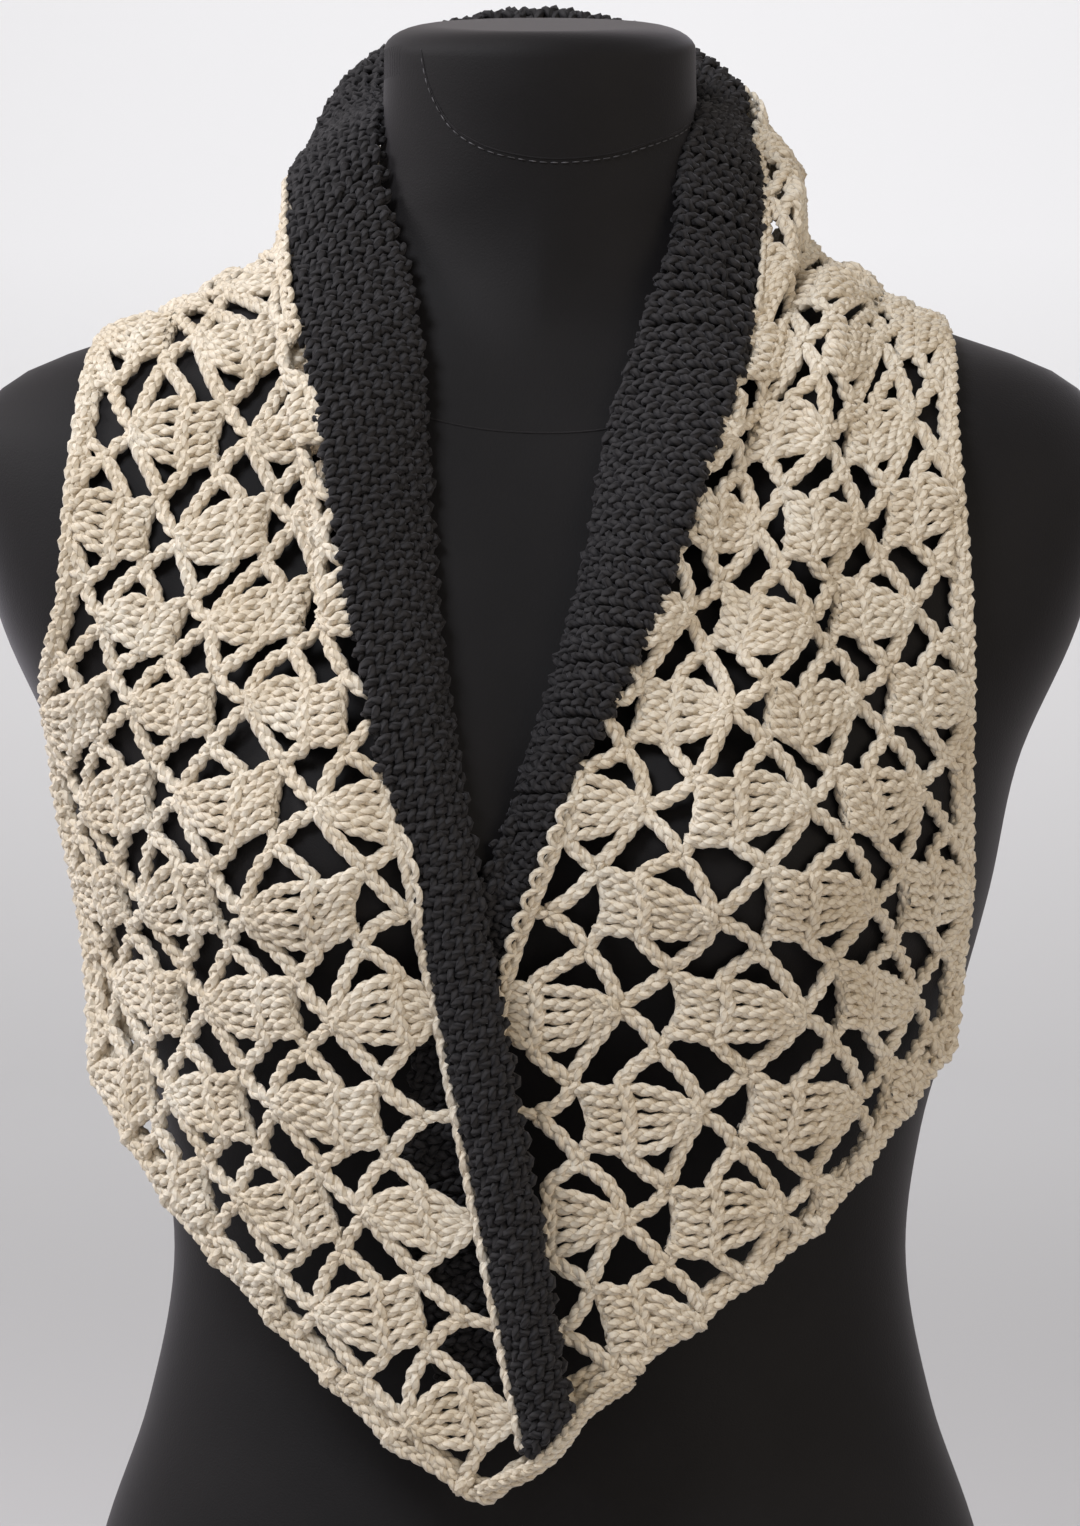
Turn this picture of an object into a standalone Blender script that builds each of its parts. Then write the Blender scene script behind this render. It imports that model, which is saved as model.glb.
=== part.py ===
"""Infinity scarf on a limbless dress form.

A V-fronted crochet ring, about 200 mm wide and 1.25 m round its inner edge. A cream lace
strip carries a solid black band along its inner edge and a chain edging along its outer one.
It is worn once round the neck of a jersey-covered torso form: the black band lines the inside
of the collar, the lace turns back over the shoulders, and the two fronts meet in a mitred
point, with the wearer's right band (on the viewer's left) lapped over the other.

Frame: metres, +Z up, the form's flat base on Z = 0, its front towards -Y.
Tables below are in millimetres.
"""
import math

import bmesh
import bpy
import numpy as np
from mathutils import Vector
from mathutils.bvhtree import BVHTree

COLLECTION = "infinity_scarf"
MM = 0.001

# ---- dress form ---------------------------------------------------------------------------
# Level sections of the torso, from the base to the top of the neck. Half width to each side,
# reach to the front and to the back of the form's mid plane, and the section's squareness
# (2 is an ellipse, more is fuller at the corners, less is drawn in to the shoulders).
# height, half_width, front, back, squareness
FORM_SECTIONS = (
    (0, 170, 105, 118, 2.3),
    (40, 168, 106, 117, 2.3),
    (106, 152, 100, 105, 2.2),
    (150, 137, 92, 95, 2.2),
    (200, 128, 87, 90, 2.15),
    (245, 133, 92, 93, 2.15),
    (290, 146, 104, 98, 2.2),
    (330, 157, 111, 104, 2.3),
    (375, 167, 109, 110, 2.4),
    (420, 187, 97, 112, 2.5),
    (460, 198, 82, 108, 2.5),
    (485, 200, 72, 102, 2.3),
    (500, 192, 66, 97, 2.0),
    (512, 175, 62, 93, 1.75),
    (525, 138, 58, 88, 1.5),
    (540, 98, 55, 80, 1.45),
    (555, 70, 53, 71, 1.7),
    (570, 59, 52.5, 65, 2.0),
    (590, 55.5, 53.5, 60, 2.05),
    (612, 54.5, 55, 57, 2.05),
)
BUST_FULLNESS = 27
BUST_CENTRE = (70, 335)
BUST_SPREAD = (38, 40)
NECK_TOP = 631
NECK_TILT = 0.17
NECK_TILT_FROM = 560
NECK_ROUNDING = 9
NECK_SIDE_ROUNDING = 2.0
FORM_SIDES = 64
FORM_STEP = 16
SHOULDER_STEP = 6
SHOULDER_RANGE = (480, 570)

# ---- scarf --------------------------------------------------------------------------------
LACE_WIDTH = 155
BAND_THICKNESS = 4.6
LACE_THICKNESS = 3.6
EDGING_RADIUS = 2.2
SEAM_GAP = 0.3
SEAM_SLACK = 0.3
BACK_SEAM_GAP = 0.8
BAND_CROSSING_TOP = 400
DEEPEST = 300
FORM_CLEARANCE = 1.0
LACE_CLEARANCE = 2.4

# Sections across the strip, from the centre back round to the front point. The first column
# is the distance along the seam between band and lace. The points are the band's free edge,
# the seam, the roll of lace just past it, the tuck or valley behind the collar, the ridge,
# the middle of the lace and its outer edge.
# along, free_edge, seam, roll, valley, ridge, middle, outer_edge
LEFT_SECTIONS = (
    (0, (0, 70, 607), (0, 86, 642), (0, 95, 643), (0, 101, 622), (0, 103, 596), (0, 106, 547),
     (0, 114, 484)),
    (60, (-44, 48, 601), (-54, 70, 626), (-62, 76, 624), (-68, 82, 604), (-67, 86, 582),
     (-64, 94, 540), (-60, 113, 482)),
    (115, (-58, 14, 598), (-79, 35, 590), (-88, 39, 586), (-84, 42, 568), (-87, 48, 552),
     (-98, 64, 532), (-108, 99, 488)),
    (165, (-61, -12, 590), (-85, -4, 572), (-95, -3, 567), (-73, -5, 564), (-94, 0, 548),
     (-116, 10, 540), (-134, 62, 510)),
    (215, (-47, -46, 547), (-83, -56, 531), (-93, -52, 525), (-72, -44, 534), (-89, -38, 527),
     (-106, -35, 522), (-148, 4, 525)),
    (262, (-41, -66, 512), (-74, -88, 495), (-84, -84, 490), (-66, -74, 497), (-82, -70, 490),
     (-104, -69, 484), (-156, -48, 493)),
    (322, (-38, -85, 457), (-65, -111, 441), (-74, -107, 438), (-70, -96, 440), (-84, -93, 438),
     (-112, -88, 432), (-161, -66, 436)),
    (385, (-32, -112, 395), (-53, -129, 381), (-61, -129, 380), (-70, -126, 380),
     (-88, -115, 381), (-117, -99, 383), (-167, -36, 379)),
    (460, (-18, -131, 319), (-36, -129, 308), (-44, -131, 308), (-56, -133, 308),
     (-84, -121, 308), (-122, -86, 310), (-156, -33, 313)),
    (540, (-4, -134, 241), (-20, -132, 230), (-28, -131, 230), (-42, -129, 230),
     (-72, -119, 231), (-114, -90, 233), (-150, -46, 237)),
    (650, (14, -133, 134), (1, -131, 124), (-7, -130, 124), (-22, -128, 124), (-55, -118, 125),
     (-95, -92, 127), (-130, -50, 131)),
)
RIGHT_SECTIONS = (
    (0, (0, 70, 607), (0, 86, 642), (0, 95, 643), (0, 101, 622), (0, 103, 596), (0, 106, 547),
     (0, 114, 484)),
    (65, (45, 46, 600), (56, 58, 624), (66, 66, 625), (70, 80, 603), (68, 86, 582),
     (62, 94, 540), (60, 113, 482)),
    (115, (57, 8, 600), (73, 24, 590), (88, 29, 600), (92, 38, 578), (88, 46, 556),
     (98, 62, 534), (106, 99, 489)),
    (150, (58, -14, 590), (77, -4, 568), (92, -2, 580), (90, 4, 558), (96, 10, 551),
     (114, 14, 543), (130, 64, 510)),
    (208, (44, -48, 548), (72, -54, 525), (82, -50, 526), (84, -44, 521), (98, -50, 529),
     (113, -32, 525), (138, 4, 529)),
    (269, (24, -70, 489), (58, -92, 482), (66, -84, 480), (74, -76, 481), (90, -84, 478),
     (112, -71, 480), (140, -59, 488)),
    (330, (17, -92, 446), (40, -112, 430), (48, -106, 428), (60, -99, 428), (80, -108, 425),
     (106, -91, 430), (143, -76, 434)),
    (379, (5, -108, 400), (20, -124, 387), (28, -120, 386), (40, -117, 386), (64, -128, 385),
     (100, -106, 388), (144, -75, 392)),
    (418, (-7, -116, 366), (5, -128, 351), (13, -127, 350), (27, -128, 350), (52, -135, 350),
     (98, -119, 352), (144, -68, 354)),
    (477, (-24, -121, 303), (-10, -122, 295), (-2, -122, 295), (14, -122, 295), (45, -126, 295),
     (96, -112, 296), (142, -52, 300)),
    (542, (-18, -121, 236), (-3, -121, 230), (5, -121, 230), (20, -121, 230), (50, -119, 231),
     (95, -102, 233), (136, -56, 236)),
    (640, (-4, -121, 143), (11, -121, 137), (19, -121, 137), (34, -120, 137), (62, -112, 138),
     (100, -88, 140), (130, -50, 145)),
)
# Where the fronts are mitred to the point: how far along the strip it ends, by how far across
# the lace from the seam.
# across, end_along
LEFT_MITRE = ((0, 627), (22, 641), (45, 622), (90, 572), (120, 545), (155, 508))
RIGHT_MITRE = ((0, 612), (15, 608), (47, 590), (95, 556), (130, 522), (155, 500))
# The bands' crown over their chord: flat at the collar, rolled below it, and pressed flat
# again where one lies under the other.
# along, crown
LEFT_CROWN = ((0, 2), (200, 2), (330, 4), (400, 6), (650, 6))
RIGHT_CROWN = ((0, 2), (200, 2), (330, 4), (395, 4), (440, 0.5), (650, 0.5))
# The left edging's end, carried round the bottom of the bands to the other front.
POINT_WRAP = ((3, -131, 140), (10, -129, 143), (14, -126, 149), (15, -124, 154))

LACE_ACROSS = 16
BAND_ACROSS = 5
ALONG = 40
FINE = 4
SMOOTHING = 3
SETTLING = 8

MATERIALS = {
    "jersey_black": ((0.012, 0.012, 0.013, 1.0), 0.8),
    "yarn_cream": ((0.60, 0.51, 0.38, 1.0), 0.85),
    "yarn_black": ((0.010, 0.010, 0.012, 1.0), 0.85),
}


# ---- small maths --------------------------------------------------------------------------
def hermite(knots, values, at):
    """Smooth curve through values at knots, read at one place; rows may be vectors."""
    knots = np.asarray(knots, float)
    values = np.asarray(values, float)
    at = min(max(at, knots[0]), knots[-1])
    i = int(min(np.searchsorted(knots, at, side="right") - 1, len(knots) - 2))
    h = knots[i + 1] - knots[i]
    t = (at - knots[i]) / h
    slope_0 = tangent(knots, values, i)
    slope_1 = tangent(knots, values, i + 1)
    return ((2 * t**3 - 3 * t**2 + 1) * values[i] + (t**3 - 2 * t**2 + t) * h * slope_0
            + (3 * t**2 - 2 * t**3) * values[i + 1] + (t**3 - t**2) * h * slope_1)


def tangent(knots, values, i):
    before = max(i - 1, 0)
    after = min(i + 1, len(knots) - 1)
    return (values[after] - values[before]) / (knots[after] - knots[before])


def column(table, index):
    return [row[index] for row in table]


def resample(points, count):
    """The same path with its points evenly spaced."""
    lengths = np.concatenate([[0], np.cumsum(np.linalg.norm(np.diff(points, axis=0), axis=1))])
    wanted = np.linspace(0, lengths[-1], count)
    return np.stack([np.interp(wanted, lengths, points[:, k]) for k in range(3)], axis=1)


# ---- dress form ---------------------------------------------------------------------------
def form_levels():
    levels = list(np.arange(0, SHOULDER_RANGE[0], FORM_STEP))
    levels += list(np.arange(SHOULDER_RANGE[0], SHOULDER_RANGE[1], SHOULDER_STEP))
    levels += list(np.linspace(SHOULDER_RANGE[1], NECK_TOP - NECK_ROUNDING, 5))
    return levels


def form_ring(level, inset=0.0, lift=0.0):
    heights = column(FORM_SECTIONS, 0)
    half_width, front, back, square = (
        float(hermite(heights, column(FORM_SECTIONS, k), level)) for k in range(1, 5))
    tilt = NECK_TILT * min(max((level - NECK_TILT_FROM) / (NECK_TOP - NECK_TILT_FROM), 0), 1)
    ring = []
    for step in range(FORM_SIDES):
        angle = 2 * math.pi * step / FORM_SIDES
        c, s = math.cos(angle), math.sin(angle)
        x = (half_width - NECK_SIDE_ROUNDING * inset) * math.copysign(abs(c) ** (2 / square), c)
        reach = (back if s > 0 else front) - inset
        y = reach * math.copysign(abs(s) ** (2 / square), s)
        if s < 0:
            y -= BUST_FULLNESS * bust(x, level) * min(1, abs(s) * 3)
        ring.append(Vector((x, y, level + lift + y * tilt)) * MM)
    return ring


def bust(x, level):
    across = (abs(x) - BUST_CENTRE[0]) / BUST_SPREAD[0]
    up = (level - BUST_CENTRE[1]) / BUST_SPREAD[1]
    return math.exp(-0.5 * (across * across + up * up))


def make_form(collection):
    rings = [form_ring(level) for level in form_levels()]
    shoulder_of_cap = NECK_TOP - NECK_ROUNDING
    for quarter in (20, 40, 60, 80):
        turn = math.radians(quarter)
        inset = NECK_ROUNDING * (1 - math.cos(turn))
        rings.append(form_ring(shoulder_of_cap, inset, NECK_ROUNDING * math.sin(turn)))
    mesh = bmesh.new()
    rows = [[mesh.verts.new(point) for point in ring] for ring in rings]
    for lower, upper in zip(rows, rows[1:]):
        for i in range(FORM_SIDES):
            j = (i + 1) % FORM_SIDES
            mesh.faces.new((lower[i], lower[j], upper[j], upper[i]))
    mesh.faces.new(list(reversed(rows[0])))
    mesh.faces.new(rows[-1])
    return finish_mesh(mesh, "dress_form", "jersey_black", collection)


# ---- scarf surface ------------------------------------------------------------------------
def section_points(table, along):
    """The section's named points at any place; the ring runs on evenly past the centre back."""
    rows = [-table[1][0]] + column(table, 0)
    points = []
    for k in range(1, 8):
        mirrored = (-table[1][k][0], table[1][k][1], table[1][k][2])
        points.append(hermite(rows, [mirrored] + column(table, k), along))
    return points


def lace_line(table, along, count):
    """Points across the lace at one place along the strip, just past the seam first."""
    points = np.array(section_points(table, along)[1:])
    chord = np.concatenate([[0], np.cumsum(np.linalg.norm(np.diff(points, axis=0), axis=1) ** 0.5)])
    fine = np.array([hermite(chord, points, at) for at in np.linspace(0, chord[-1], 80)])
    return resample(fine, count)


def unit(vector):
    return vector / np.linalg.norm(vector)


def seam_corner(free, seam, lace):
    """The lace's first middle point: past the band's end, further where the two fold back."""
    across_band = unit(seam - free)
    across_lace = unit(lace - seam)
    straight = float(across_band @ across_lace)
    turn = math.sqrt(max(0.04, 1 - straight ** 2))
    reach = BAND_THICKNESS / 2 * turn
    if straight < 0:
        reach = (BAND_THICKNESS - straight * LACE_THICKNESS) / 2 / turn
    return seam + across_lace * (SEAM_GAP + SEAM_SLACK + reach)


def band_line(table, along, count):
    """Points across the band, free edge first, crowned away from the form."""
    free, seam = section_points(table, along)[:2]
    ahead = section_points(table, along + 4)[1]
    behind = section_points(table, along - 4)[1]
    outward = unit(np.cross(ahead - behind, seam - free))
    crowns = LEFT_CROWN
    if table is RIGHT_SECTIONS:
        outward = -outward
        crowns = RIGHT_CROWN
    crown = float(hermite(column(crowns, 0), column(crowns, 1), along))
    share = np.linspace(0, 1, 25)[:, None]
    line = free + (seam - free) * share + outward * crown * np.sin(math.pi * share)
    return resample(line, count)


def push_vector(point, surface, clearance, two_sided=False):
    """How far a point has to move to stand clear of a surface, straight out of it."""
    here = Vector(point) * MM
    near, normal, _, distance = surface.find_nearest(here)
    reach = clearance * MM
    if not two_sided and (here - near).dot(normal) < 0:
        return np.array(near + normal * reach - here) / MM
    if distance < reach:
        return np.array((here - near).normalized() * (reach - distance)) / MM
    return None


def push_off(points, surface, clearance, two_sided=False):
    moved = points.copy()
    for index in np.ndindex(points.shape[:-1]):
        push = push_vector(points[index], surface, clearance, two_sided)
        if push is not None:
            moved[index] += push
    return moved


def settle(grid, form, clearance):
    """Lift a coarse grid until its facets clear the form all over."""
    grid = push_off(grid, form, clearance)
    shares = np.linspace(0, 1, 5)
    spots = [(down, over) for down in shares for over in shares]
    for _ in range(SETTLING):
        lift = np.zeros_like(grid)
        for row in range(grid.shape[0] - 1):
            for col in range(grid.shape[1] - 1):
                corners = grid[row:row + 2, col:col + 2]
                for down, over in spots:
                    top = corners[0, 0] * (1 - over) + corners[0, 1] * over
                    bottom = corners[1, 0] * (1 - over) + corners[1, 1] * over
                    push = push_vector(top * (1 - down) + bottom * down, form, clearance)
                    if push is not None:
                        for spot in ((row, col), (row, col + 1), (row + 1, col), (row + 1, col + 1)):
                            if np.linalg.norm(push) > np.linalg.norm(lift[spot]):
                                lift[spot] = push
        grid = grid + 0.6 * lift
    return grid


def relax(points):
    """One light smoothing of the inner points of a grid."""
    smooth = points.copy()
    around = points[:-2, 1:-1] + points[2:, 1:-1] + points[1:-1, :-2] + points[1:-1, 2:]
    smooth[1:-1, 1:-1] = 0.5 * points[1:-1, 1:-1] + 0.125 * around
    for edge in (0, -1):
        smooth[1:-1, edge] = 0.6 * points[1:-1, edge] + 0.2 * (points[:-2, edge] + points[2:, edge])
    return smooth


def lace_grid(table, mitre, form, band):
    """Middle surface of the lace, [along][across], from the centre back to the mitre."""
    last = table[-1][0]
    stations = np.linspace(0, last, FINE * ALONG + 1)
    strip = np.array([lace_line(table, at, LACE_ACROSS + 1) for at in stations])
    clearance = LACE_CLEARANCE + LACE_THICKNESS / 2
    beside_band = (BAND_THICKNESS + LACE_THICKNESS) / 2 + FORM_CLEARANCE
    for _ in range(SMOOTHING):
        strip = relax(strip)
        strip[:, 1:] = push_off(strip[:, 1:], sheet_surface(band), beside_band, two_sided=True)
        strip = push_off(strip, form, clearance)
    grid = np.zeros((ALONG + 1, LACE_ACROSS + 1, 3))
    for i in range(LACE_ACROSS + 1):
        across = LACE_WIDTH * i / LACE_ACROSS
        end = float(np.interp(across, column(mitre, 0), column(mitre, 1)))
        for k in range(3):
            grid[:, i, k] = np.interp(np.linspace(0, end, ALONG + 1), stations, strip[:, i, k])
    grid = settle(grid, form, clearance)
    for row, band_row in zip(grid, band):
        row[0] = seam_corner(band_row[-2], band_row[-1], row[1])
    return split_at_back(grid, table)


def band_grid(table, end, form, under=None):
    clearance = FORM_CLEARANCE + BAND_THICKNESS / 2
    grid = np.array([band_line(table, at, BAND_ACROSS + 1) for at in np.linspace(0, end, ALONG + 1)])
    grid = settle(grid, form, clearance)
    if under is not None:
        grid = lay_over(grid, sheet_surface(under))
    return split_at_back(grid, table)


def lay_over(grid, under):
    """Bring the upper band's front end forward of the lower one's."""
    reach = BAND_THICKNESS + FORM_CLEARANCE
    forward = Vector((0, 1, 0))
    for _ in range(SETTLING):
        for index in np.ndindex(grid.shape[:-1]):
            x, y, z = grid[index]
            if z < BAND_CROSSING_TOP:
                for aside in (-reach, 0, reach):
                    hit = under.ray_cast(Vector((x + aside, -DEEPEST, z)) * MM, forward)[0]
                    if hit is not None:
                        grid[index][1] = min(grid[index][1], hit.y / MM - reach)
    return grid


def split_at_back(grid, table):
    """Leave the gap between the two halves of the ring at the centre back."""
    side = -1 if table is LEFT_SECTIONS else 1
    grid[0] = grid[1]
    grid[0, :, 0] = side * BACK_SEAM_GAP / 2
    return grid


def edging_path(grid, form):
    """The chain's middle line: down the outer edge, then along the mitre to the point."""
    reach = EDGING_RADIUS + SEAM_GAP + SEAM_SLACK
    border = np.concatenate([grid[:-1, -1], grid[-1, ::-1]])
    inside = np.concatenate([grid[:-1, -2], grid[-2, ::-1]])
    heading = np.gradient(border, axis=0)
    path = []
    for point, inner, ahead in zip(border, inside, heading):
        ahead = unit(ahead)
        out = point - inner
        path.append(point + unit(out - ahead * (out @ ahead)) * reach)
    path = push_off(np.array(path), form, LACE_CLEARANCE + EDGING_RADIUS)
    return push_off(path, sheet_surface(grid), reach, two_sided=True)


# ---- mesh making --------------------------------------------------------------------------
def material(name):
    colour, roughness = MATERIALS[name]
    made = bpy.data.materials.get(name) or bpy.data.materials.new(name)
    made.use_nodes = True
    shader = made.node_tree.nodes["Principled BSDF"]
    shader.inputs["Base Color"].default_value = colour
    shader.inputs["Roughness"].default_value = roughness
    return made


def finish_mesh(mesh, name, finish, collection):
    bmesh.ops.recalc_face_normals(mesh, faces=mesh.faces)
    data = bpy.data.meshes.new(name)
    mesh.to_mesh(data)
    mesh.free()
    data.shade_smooth()
    piece = bpy.data.objects.new(name, data)
    piece.data.materials.append(material(finish))
    collection.objects.link(piece)
    return piece


def grid_surface(grid):
    rows, cols = grid.shape[:2]
    points = [Vector(point) * MM for point in grid.reshape(-1, 3)]
    faces = [(r * cols + c, r * cols + c + 1, (r + 1) * cols + c + 1, (r + 1) * cols + c)
             for r in range(rows - 1) for c in range(cols - 1)]
    return points, faces


def sheet_surface(band):
    return BVHTree.FromPolygons(*grid_surface(band))


def wall(grid, thickness, name, finish, collection):
    """An even wall on both sides of a grid of middle points, closed round its rim."""
    mesh = bmesh.new()
    points, faces = grid_surface(grid)
    corners = [mesh.verts.new(point) for point in points]
    for face in faces:
        mesh.faces.new([corners[i] for i in face])
    piece = finish_mesh(mesh, name, finish, collection)
    shell = piece.modifiers.new("wall", "SOLIDIFY")
    shell.thickness = thickness * MM
    shell.offset = 0
    return piece


def cord(path, radius, name, finish, collection):
    curve = bpy.data.curves.new(name, "CURVE")
    curve.dimensions = "3D"
    curve.bevel_depth = radius * MM
    curve.bevel_resolution = 1
    curve.use_fill_caps = True
    spline = curve.splines.new("POLY")
    spline.points.add(len(path) - 1)
    for spot, point in zip(spline.points, path):
        spot.co = (*(Vector(point) * MM), 1.0)
    curve.materials.append(material(finish))
    piece = bpy.data.objects.new(name, curve)
    collection.objects.link(piece)
    return piece


def centre_over_base(collection):
    """Shift everything level so that the middle of its footprint is at the origin."""
    seen = bpy.context.evaluated_depsgraph_get()
    points = []
    for piece in collection.objects:
        points += [corner.co.copy() for corner in piece.evaluated_get(seen).to_mesh().vertices]
    middle = Vector((np.min(points, axis=0) + np.max(points, axis=0)) / 2)
    for piece in collection.objects:
        piece.location = (-middle.x, -middle.y, 0)


def main():
    for old in list(bpy.data.objects):
        bpy.data.objects.remove(old, do_unlink=True)
    collection = bpy.data.collections.new(COLLECTION)
    bpy.context.scene.collection.children.link(collection)
    form_piece = make_form(collection)
    form = BVHTree.FromPolygons([v.co for v in form_piece.data.vertices],
                                [p.vertices for p in form_piece.data.polygons])
    under = None
    for side, table, mitre in (("right", RIGHT_SECTIONS, RIGHT_MITRE),
                               ("left", LEFT_SECTIONS, LEFT_MITRE)):
        band = band_grid(table, mitre[0][1], form, under)
        lace = lace_grid(table, mitre, form, band)
        under = band
        edging = edging_path(lace, form)
        if side == "left":
            edging = np.concatenate([edging, POINT_WRAP])
        wall(band, BAND_THICKNESS, f"band_{side}", "yarn_black", collection)
        wall(lace, LACE_THICKNESS, f"lace_{side}", "yarn_cream", collection)
        cord(edging, EDGING_RADIUS, f"edging_{side}", "yarn_cream", collection)
    centre_over_base(collection)


main()
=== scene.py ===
"""Looks of the infinity scarf on its dress form.

The scarf is made of strands of yarn. One smooth surface is lofted round the form, through
sections that follow the solids', and every stitch is strands laid on it: the lace's blocks, chain
arms, foundation chain and edging, and the black band's slanting rows, over a thin closed core.
The strands cross and pass through each other; they are not looped. The form is built from the
formula that its solid has.

Places on the strip are given as (across, along) in millimetres: across from the seam between
band and lace out to the edging, along from the centre back, left front positive.
"""
import math

import bpy
import numpy as np
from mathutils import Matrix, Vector
from mathutils.bvhtree import BVHTree


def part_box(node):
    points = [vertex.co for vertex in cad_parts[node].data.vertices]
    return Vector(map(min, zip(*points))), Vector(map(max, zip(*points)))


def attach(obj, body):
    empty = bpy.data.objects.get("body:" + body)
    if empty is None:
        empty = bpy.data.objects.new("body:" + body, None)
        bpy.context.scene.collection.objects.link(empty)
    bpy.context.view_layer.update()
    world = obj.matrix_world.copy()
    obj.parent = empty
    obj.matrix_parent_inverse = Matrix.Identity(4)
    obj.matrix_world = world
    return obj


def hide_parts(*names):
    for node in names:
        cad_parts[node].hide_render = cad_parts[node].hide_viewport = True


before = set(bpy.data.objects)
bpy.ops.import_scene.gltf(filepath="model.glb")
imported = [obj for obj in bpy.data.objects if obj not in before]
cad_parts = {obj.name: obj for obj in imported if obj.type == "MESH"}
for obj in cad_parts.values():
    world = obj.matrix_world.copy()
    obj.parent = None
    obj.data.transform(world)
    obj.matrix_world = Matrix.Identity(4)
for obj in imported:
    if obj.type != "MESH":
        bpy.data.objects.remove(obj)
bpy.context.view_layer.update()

FORM_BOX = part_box("dress_form")
MM = 0.001
DICE = np.random.default_rng(7)

# ---- camera ----
CAMERA_DISTANCE = 2.2
CAMERA_LIFT = math.radians(1)
AIM = (0, 0, 0.373)
FRAME_HEIGHT = 0.534
SENSOR = 36
# metres: the backdrop's distance behind the form, its height and half width, the cove's radius
STAGE_DEPTH = 5.6
STAGE_HALF = 6.0
COVE = 1.8

# ---- the form, as its solid has it: millimetres, about its own mid plane ----
# height, half_width, front, back, squareness
FORM_SECTIONS = (
    (0, 170, 105, 118, 2.3), (40, 168, 106, 117, 2.3), (106, 152, 100, 105, 2.2),
    (150, 137, 92, 95, 2.2), (200, 128, 87, 90, 2.15), (245, 133, 92, 93, 2.15),
    (290, 146, 104, 98, 2.2), (330, 157, 111, 104, 2.3), (375, 167, 109, 110, 2.4),
    (420, 187, 97, 112, 2.5), (460, 198, 82, 108, 2.5), (485, 200, 72, 102, 2.3),
    (500, 192, 66, 97, 2.0), (512, 175, 62, 93, 1.75), (525, 138, 58, 88, 1.5),
    (540, 98, 55, 80, 1.45), (555, 70, 53, 71, 1.7), (570, 59, 52.5, 65, 2.0),
    (590, 55.5, 53.5, 60, 2.05), (612, 54.5, 55, 57, 2.05),
)
FORM_BACK = 118
BUST_FULLNESS = 27
BUST_CENTRE = (70, 335)
BUST_SPREAD = (38, 40)
NECK_TOP = 631
NECK_TILT = 0.17
NECK_TILT_FROM = 560
NECK_ROUNDING = 9
NECK_SIDE_ROUNDING = 2.0
FORM_SIDES = 128
FORM_STEP = 6
# Where the form's own middle lies in the frame.
PLACE = np.array(((FORM_BOX[0][0] + FORM_BOX[1][0]) / 2 / MM, FORM_BOX[1][1] / MM - FORM_BACK, 0.0))
# Sewn lines on the form, as seen from the front: (x, z)
CAP_SEAM = ((-41, 619), (-38, 606), (-31, 593), (-20, 585), (-6, 581), (8, 580), (24, 582), (36, 586),
            (47, 591), (55, 598))
NECK_SEAM = ((-45, 494), (-38, 491), (-22, 487.5), (-6, 486), (10, 486), (24, 487.5), (36, 491))
# The ribbed gusset on the neck's left side: first and last turn and step, in degrees, and heights.
RIB_TURNS = (186, 209, 2.2)
RIB_HEIGHTS = (611, 621.5)

# ---- the scarf's sections ----
# They follow the solids, with flatter rolls. The right front's foot lies up to 9 mm further left,
# and its band is wider where the left band hides it.
# along, then (x, y, z) of: free edge, seam, roll, valley, ridge, middle, outer edge
LEFT_SECTIONS = (
    (0, (0, 70, 607), (0, 86, 642), (0, 95, 643), (0, 101, 622), (0, 103, 596), (0, 106, 547),
     (0, 114, 484)),
    (60, (-44, 48, 601), (-54, 70, 626), (-62, 76, 624), (-68, 82, 604), (-67, 86, 582),
     (-64, 94, 540), (-60, 113, 482)),
    (115, (-58, 14, 598), (-79, 35, 590), (-82, 39, 584), (-84, 42, 568), (-87, 48, 552),
     (-98, 64, 532), (-108, 99, 488)),
    (165, (-61, -12, 590), (-85, -4, 572), (-88, -4, 566), (-73, -5, 564), (-94, 0, 548),
     (-116, 10, 540), (-134, 62, 510)),
    (215, (-47, -46, 547), (-83, -56, 531), (-93, -52, 525), (-72, -44, 534), (-89, -38, 527),
     (-106, -35, 522), (-148, 4, 525)),
    (262, (-41, -66, 512), (-74, -88, 495), (-84, -84, 490), (-66, -74, 497), (-82, -70, 490),
     (-104, -69, 484), (-156, -48, 493)),
    (322, (-38, -85, 457), (-65, -111, 441), (-74, -107, 438), (-70, -96, 440), (-84, -93, 438),
     (-112, -88, 432), (-161, -66, 436)),
    (385, (-32, -112, 395), (-53, -129, 381), (-61, -129, 380), (-70, -126, 380),
     (-88, -115, 381), (-117, -99, 383), (-167, -36, 379)),
    (460, (-18, -131, 319), (-36, -129, 308), (-44, -131, 308), (-56, -133, 308),
     (-84, -121, 308), (-122, -86, 310), (-156, -33, 313)),
    (540, (-4, -134, 241), (-20, -132, 230), (-28, -131, 230), (-42, -129, 230),
     (-72, -119, 231), (-114, -90, 233), (-150, -46, 237)),
    (650, (14, -133, 134), (1, -131, 124), (-7, -130, 124), (-22, -128, 124), (-55, -118, 125),
     (-95, -92, 127), (-130, -50, 131)),
)
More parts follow.
